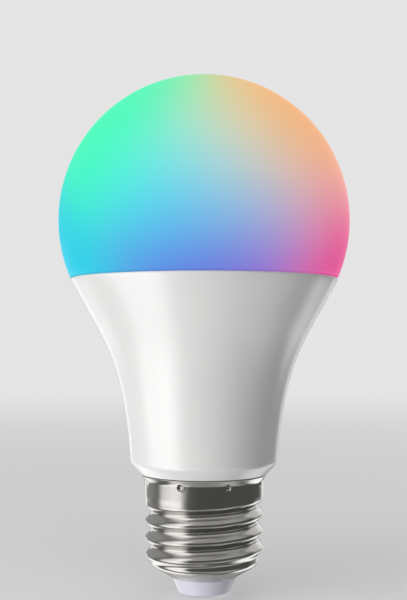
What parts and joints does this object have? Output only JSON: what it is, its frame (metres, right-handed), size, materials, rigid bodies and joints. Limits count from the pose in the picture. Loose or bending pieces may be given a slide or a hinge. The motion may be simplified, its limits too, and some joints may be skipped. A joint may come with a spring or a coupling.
{
  "type": "smart light bulb",
  "caption": "Screw-base smart LED bulb with a round opal globe, flared white housing and a wireless colour light engine inside.",
  "frame": {"origin": "centre of the contact button's bottom face, on the bulb's axis", "axes": "+Z along the bulb's axis from the contact to the globe's crown; -Y is the side seen from the front; +X to the right of it"},
  "size_m": [0.0642, 0.0642, 0.1141],
  "materials": {
    "opal_globe": "frosted opal polycarbonate, lit from inside",
    "white_housing": "satin white moulded plastic",
    "nickel_cap": "rolled nickel-plated sheet, satin to bright",
    "cap_insulator": "pale lavender moulded insulator, semi-gloss",
    "contact_metal": "plated brass button, worn bright",
    "heat_sink": "drawn aluminium, matt",
    "thermal_pad": "grey filled silicone",
    "clear_sealant": "cured translucent silicone bead",
    "white_board": "aluminium board under white solder mask",
    "screw_steel": "zinc-plated steel",
    "warm_led": "white frame with amber phosphor window",
    "cool_led": "white frame with yellow phosphor window",
    "colour_led": "white frame with clear resin window",
    "green_board": "glass-epoxy board under green solder mask",
    "blue_board": "glass-epoxy board under blue solder mask",
    "can_sleeve": "shrunk sleeve over an aluminium can",
    "film_box": "yellow moulded box",
    "blue_epoxy": "dipped epoxy coat",
    "resistor_body": "lacquered ceramic",
    "resistor_sleeve": "heat-shrink tube",
    "ferrite": "sintered ferrite, matt",
    "copper_wire": "enamelled copper wire",
    "bobbin": "black moulded bobbin",
    "tape": "polyester tape over the windings",
    "chip": "black moulding compound",
    "tin_can": "tin-plated sheet",
    "antenna_gold": "gold-flashed copper track",
    "header_black": "black moulded header with plated pins",
    "socket_white": "white moulded socket",
    "live_insulation": "red lead insulation",
    "neutral_insulation": "black lead insulation"
  },
  "bodies": {
    "root": {"diffuser_dome": "opal_globe", "dome_sealant": "clear_sealant", "housing_shell": "white_housing", "screw_shell": "nickel_cap", "cap_insulator": "cap_insulator", "centre_contact": "contact_metal", "heat_sink_cup": "heat_sink", "thermal_pad": "thermal_pad", "led_board": "white_board", "led_board_screw_1": "screw_steel", "led_board_screw_2": "screw_steel", "led_board_screw_3": "screw_steel", "warm_white_led_1": "warm_led", "warm_white_led_2": "warm_led", "warm_white_led_3": "warm_led", "warm_white_led_4": "warm_led", "warm_white_led_5": "warm_led", "warm_white_led_6": "warm_led", "cool_white_led_1": "cool_led", "cool_white_led_2": "cool_led", "cool_white_led_3": "cool_led", "cool_white_led_4": "cool_led", "cool_white_led_5": "cool_led", "cool_white_led_6": "cool_led", "rgb_led_1": "colour_led", "rgb_led_2": "colour_led", "rgb_led_3": "colour_led", "rgb_led_4": "colour_led", "driver_board": "green_board", "bulk_capacitor": "can_sleeve", "output_capacitor": "can_sleeve", "film_capacitor": "film_box", "varistor": "blue_epoxy", "fusible_resistor": "resistor_body", "resistor_sleeve": "resistor_sleeve", "emi_choke_core": "ferrite", "emi_choke_winding": "copper_wire", "transformer_core": "ferrite", "transformer_bobbin": "bobbin", "transformer_winding": "tape", "bridge_rectifier": "chip", "driver_chip": "chip", "regulator_chip": "chip", "colour_driver_chip": "chip", "wifi_module_board": "blue_board", "wifi_shield_can": "tin_can", "wifi_antenna": "antenna_gold", "module_header": "header_black", "led_link_header": "header_black", "led_link_socket": "socket_white", "live_lead": "live_insulation", "neutral_lead": "neutral_insulation"}
  },
  "joints": []
}
